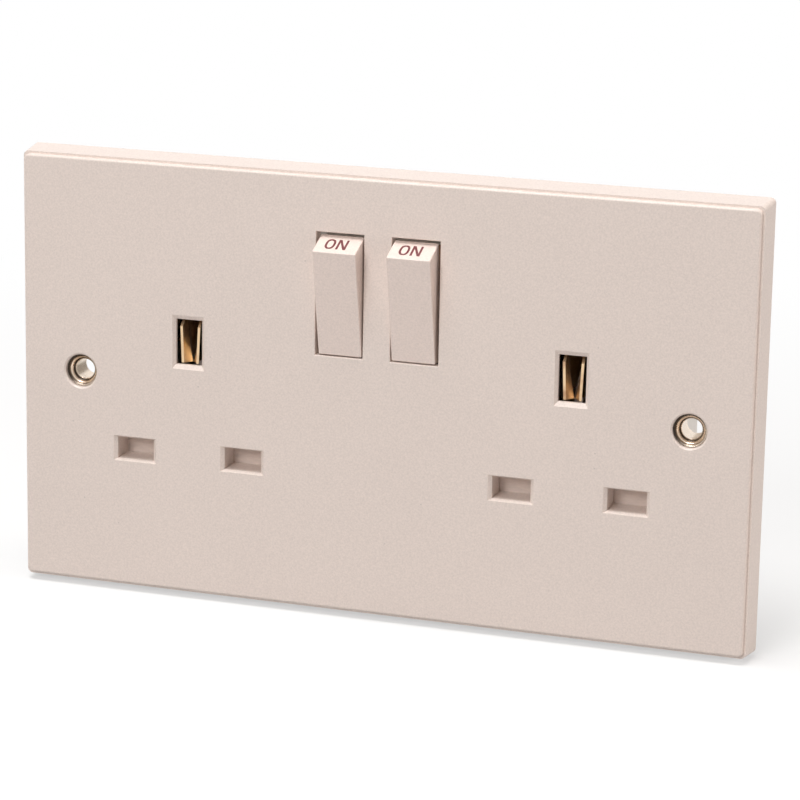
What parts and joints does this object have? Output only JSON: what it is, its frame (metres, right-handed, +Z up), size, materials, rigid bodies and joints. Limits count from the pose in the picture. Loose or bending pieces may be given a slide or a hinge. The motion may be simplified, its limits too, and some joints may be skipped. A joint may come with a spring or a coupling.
{
  "type": "twin switched socket outlet",
  "caption": "Wall socket outlet plate for two plugs with rectangular pins, with rocker switches, shutters, spring contacts and rear terminals.",
  "frame": {"origin": "midway between the two fixing holes, in the plane of the plate's rear edge, which is the wall's surface", "axes": "+X to the right as the front is seen, +Y into the wall, +Z up"},
  "size_m": [0.146, 0.0314, 0.086],
  "materials": {
    "white_plastic": "satin moulded urea",
    "rocker_plastic": "satin moulded plastic",
    "housing_plastic": "matt moulded plastic",
    "shutter_plastic": "matt moulded plastic",
    "plunger_plastic": "matt nylon",
    "steel": "zinc plated",
    "nickel": "nickel plated brass",
    "spring_steel": "drawn wire",
    "copper_alloy": "rolled copper alloy",
    "silver": "silver alloy",
    "brass": "rolled brass",
    "terminal_brass": "turned brass"
  },
  "bodies": {
    "socket_body": {"faceplate": "white_plastic", "rear_housing": "housing_plastic", "housing_screws": "steel", "screw_eyelet_left": "nickel", "screw_eyelet_right": "nickel", "fixed_tips": "silver", "live_busbar": "brass", "live_link_left": "brass", "live_link_right": "brass", "neutral_busbar": "brass", "earth_strap": "brass", "live_pin_contact_left": "brass", "live_pin_contact_right": "brass", "neutral_pin_contact_left": "brass", "neutral_pin_contact_right": "brass", "earth_pin_contact_left": "brass", "earth_pin_contact_right": "brass", "live_terminal": "terminal_brass", "neutral_terminal": "terminal_brass", "earth_terminal_left": "terminal_brass", "earth_terminal_right": "terminal_brass"},
    "switch_left": {"rocker_left": "rocker_plastic", "rocker_plunger_left": "plunger_plastic", "rocker_spring_left": "spring_steel"},
    "seesaw_left": {"moving_contact_left": "copper_alloy", "moving_tip_left": "silver"},
    "shutter_body_left": {"shutter_left": "shutter_plastic", "shutter_spring_left": "spring_steel"},
    "switch_right": {"rocker_right": "rocker_plastic", "rocker_plunger_right": "plunger_plastic", "rocker_spring_right": "spring_steel"},
    "seesaw_right": {"moving_contact_right": "copper_alloy", "moving_tip_right": "silver"},
    "shutter_body_right": {"shutter_right": "shutter_plastic", "shutter_spring_right": "spring_steel"},
    "live_terminal_screw_body": {"live_terminal_screw": "steel"},
    "neutral_terminal_screw_body": {"neutral_terminal_screw": "steel"},
    "earth_terminal_left_screw_body": {"earth_terminal_left_screw": "steel"},
    "earth_terminal_right_screw_body": {"earth_terminal_right_screw": "steel"}
  },
  "joints": [
    {"name": "switch_left_turn", "type": "hinge", "parent": "socket_body", "child": "switch_left", "pos_m": [-0.00725, -0.0026, 0.0195], "axis": [1, 0, 0], "range_deg": [-24, 0]},
    {"name": "seesaw_left_tilt", "type": "hinge", "parent": "socket_body", "child": "seesaw_left", "pos_m": [-0.00725, 0.00976, 0.0195], "axis": [1, 0, 0], "range_deg": [0, 22]},
    {"name": "shutter_left_slide", "type": "slide", "parent": "socket_body", "child": "shutter_body_left", "axis": [0, 0, -1], "range_m": [0, 0.0054], "stiffness_N_per_m": 90, "springref_m": -0.003, "deforming": ["shutter_spring_left"]},
    {"name": "switch_right_turn", "type": "hinge", "parent": "socket_body", "child": "switch_right", "pos_m": [0.00725, -0.0026, 0.0195], "axis": [1, 0, 0], "range_deg": [-24, 0]},
    {"name": "seesaw_right_tilt", "type": "hinge", "parent": "socket_body", "child": "seesaw_right", "pos_m": [0.00725, 0.00976, 0.0195], "axis": [1, 0, 0], "range_deg": [0, 22]},
    {"name": "shutter_right_slide", "type": "slide", "parent": "socket_body", "child": "shutter_body_right", "axis": [0, 0, -1], "range_m": [0, 0.0054], "stiffness_N_per_m": 90, "springref_m": -0.003, "deforming": ["shutter_spring_right"]},
    {"name": "live_terminal_screw_travel", "type": "slide", "parent": "socket_body", "child": "live_terminal_screw_body", "axis": [0, 1, 0], "range_m": [0, 0.0026]},
    {"name": "neutral_terminal_screw_travel", "type": "slide", "parent": "socket_body", "child": "neutral_terminal_screw_body", "axis": [0, 1, 0], "range_m": [0, 0.0026]},
    {"name": "earth_terminal_left_screw_travel", "type": "slide", "parent": "socket_body", "child": "earth_terminal_left_screw_body", "axis": [0, 1, 0], "range_m": [0, 0.0026]},
    {"name": "earth_terminal_right_screw_travel", "type": "slide", "parent": "socket_body", "child": "earth_terminal_right_screw_body", "axis": [0, 1, 0], "range_m": [0, 0.0026]}
  ],
  "couplings": [
    {"joint": "seesaw_left_tilt", "follows": "switch_left_turn", "ratio": -0.91667},
    {"joint": "seesaw_right_tilt", "follows": "switch_right_turn", "ratio": -0.91667}
  ]
}
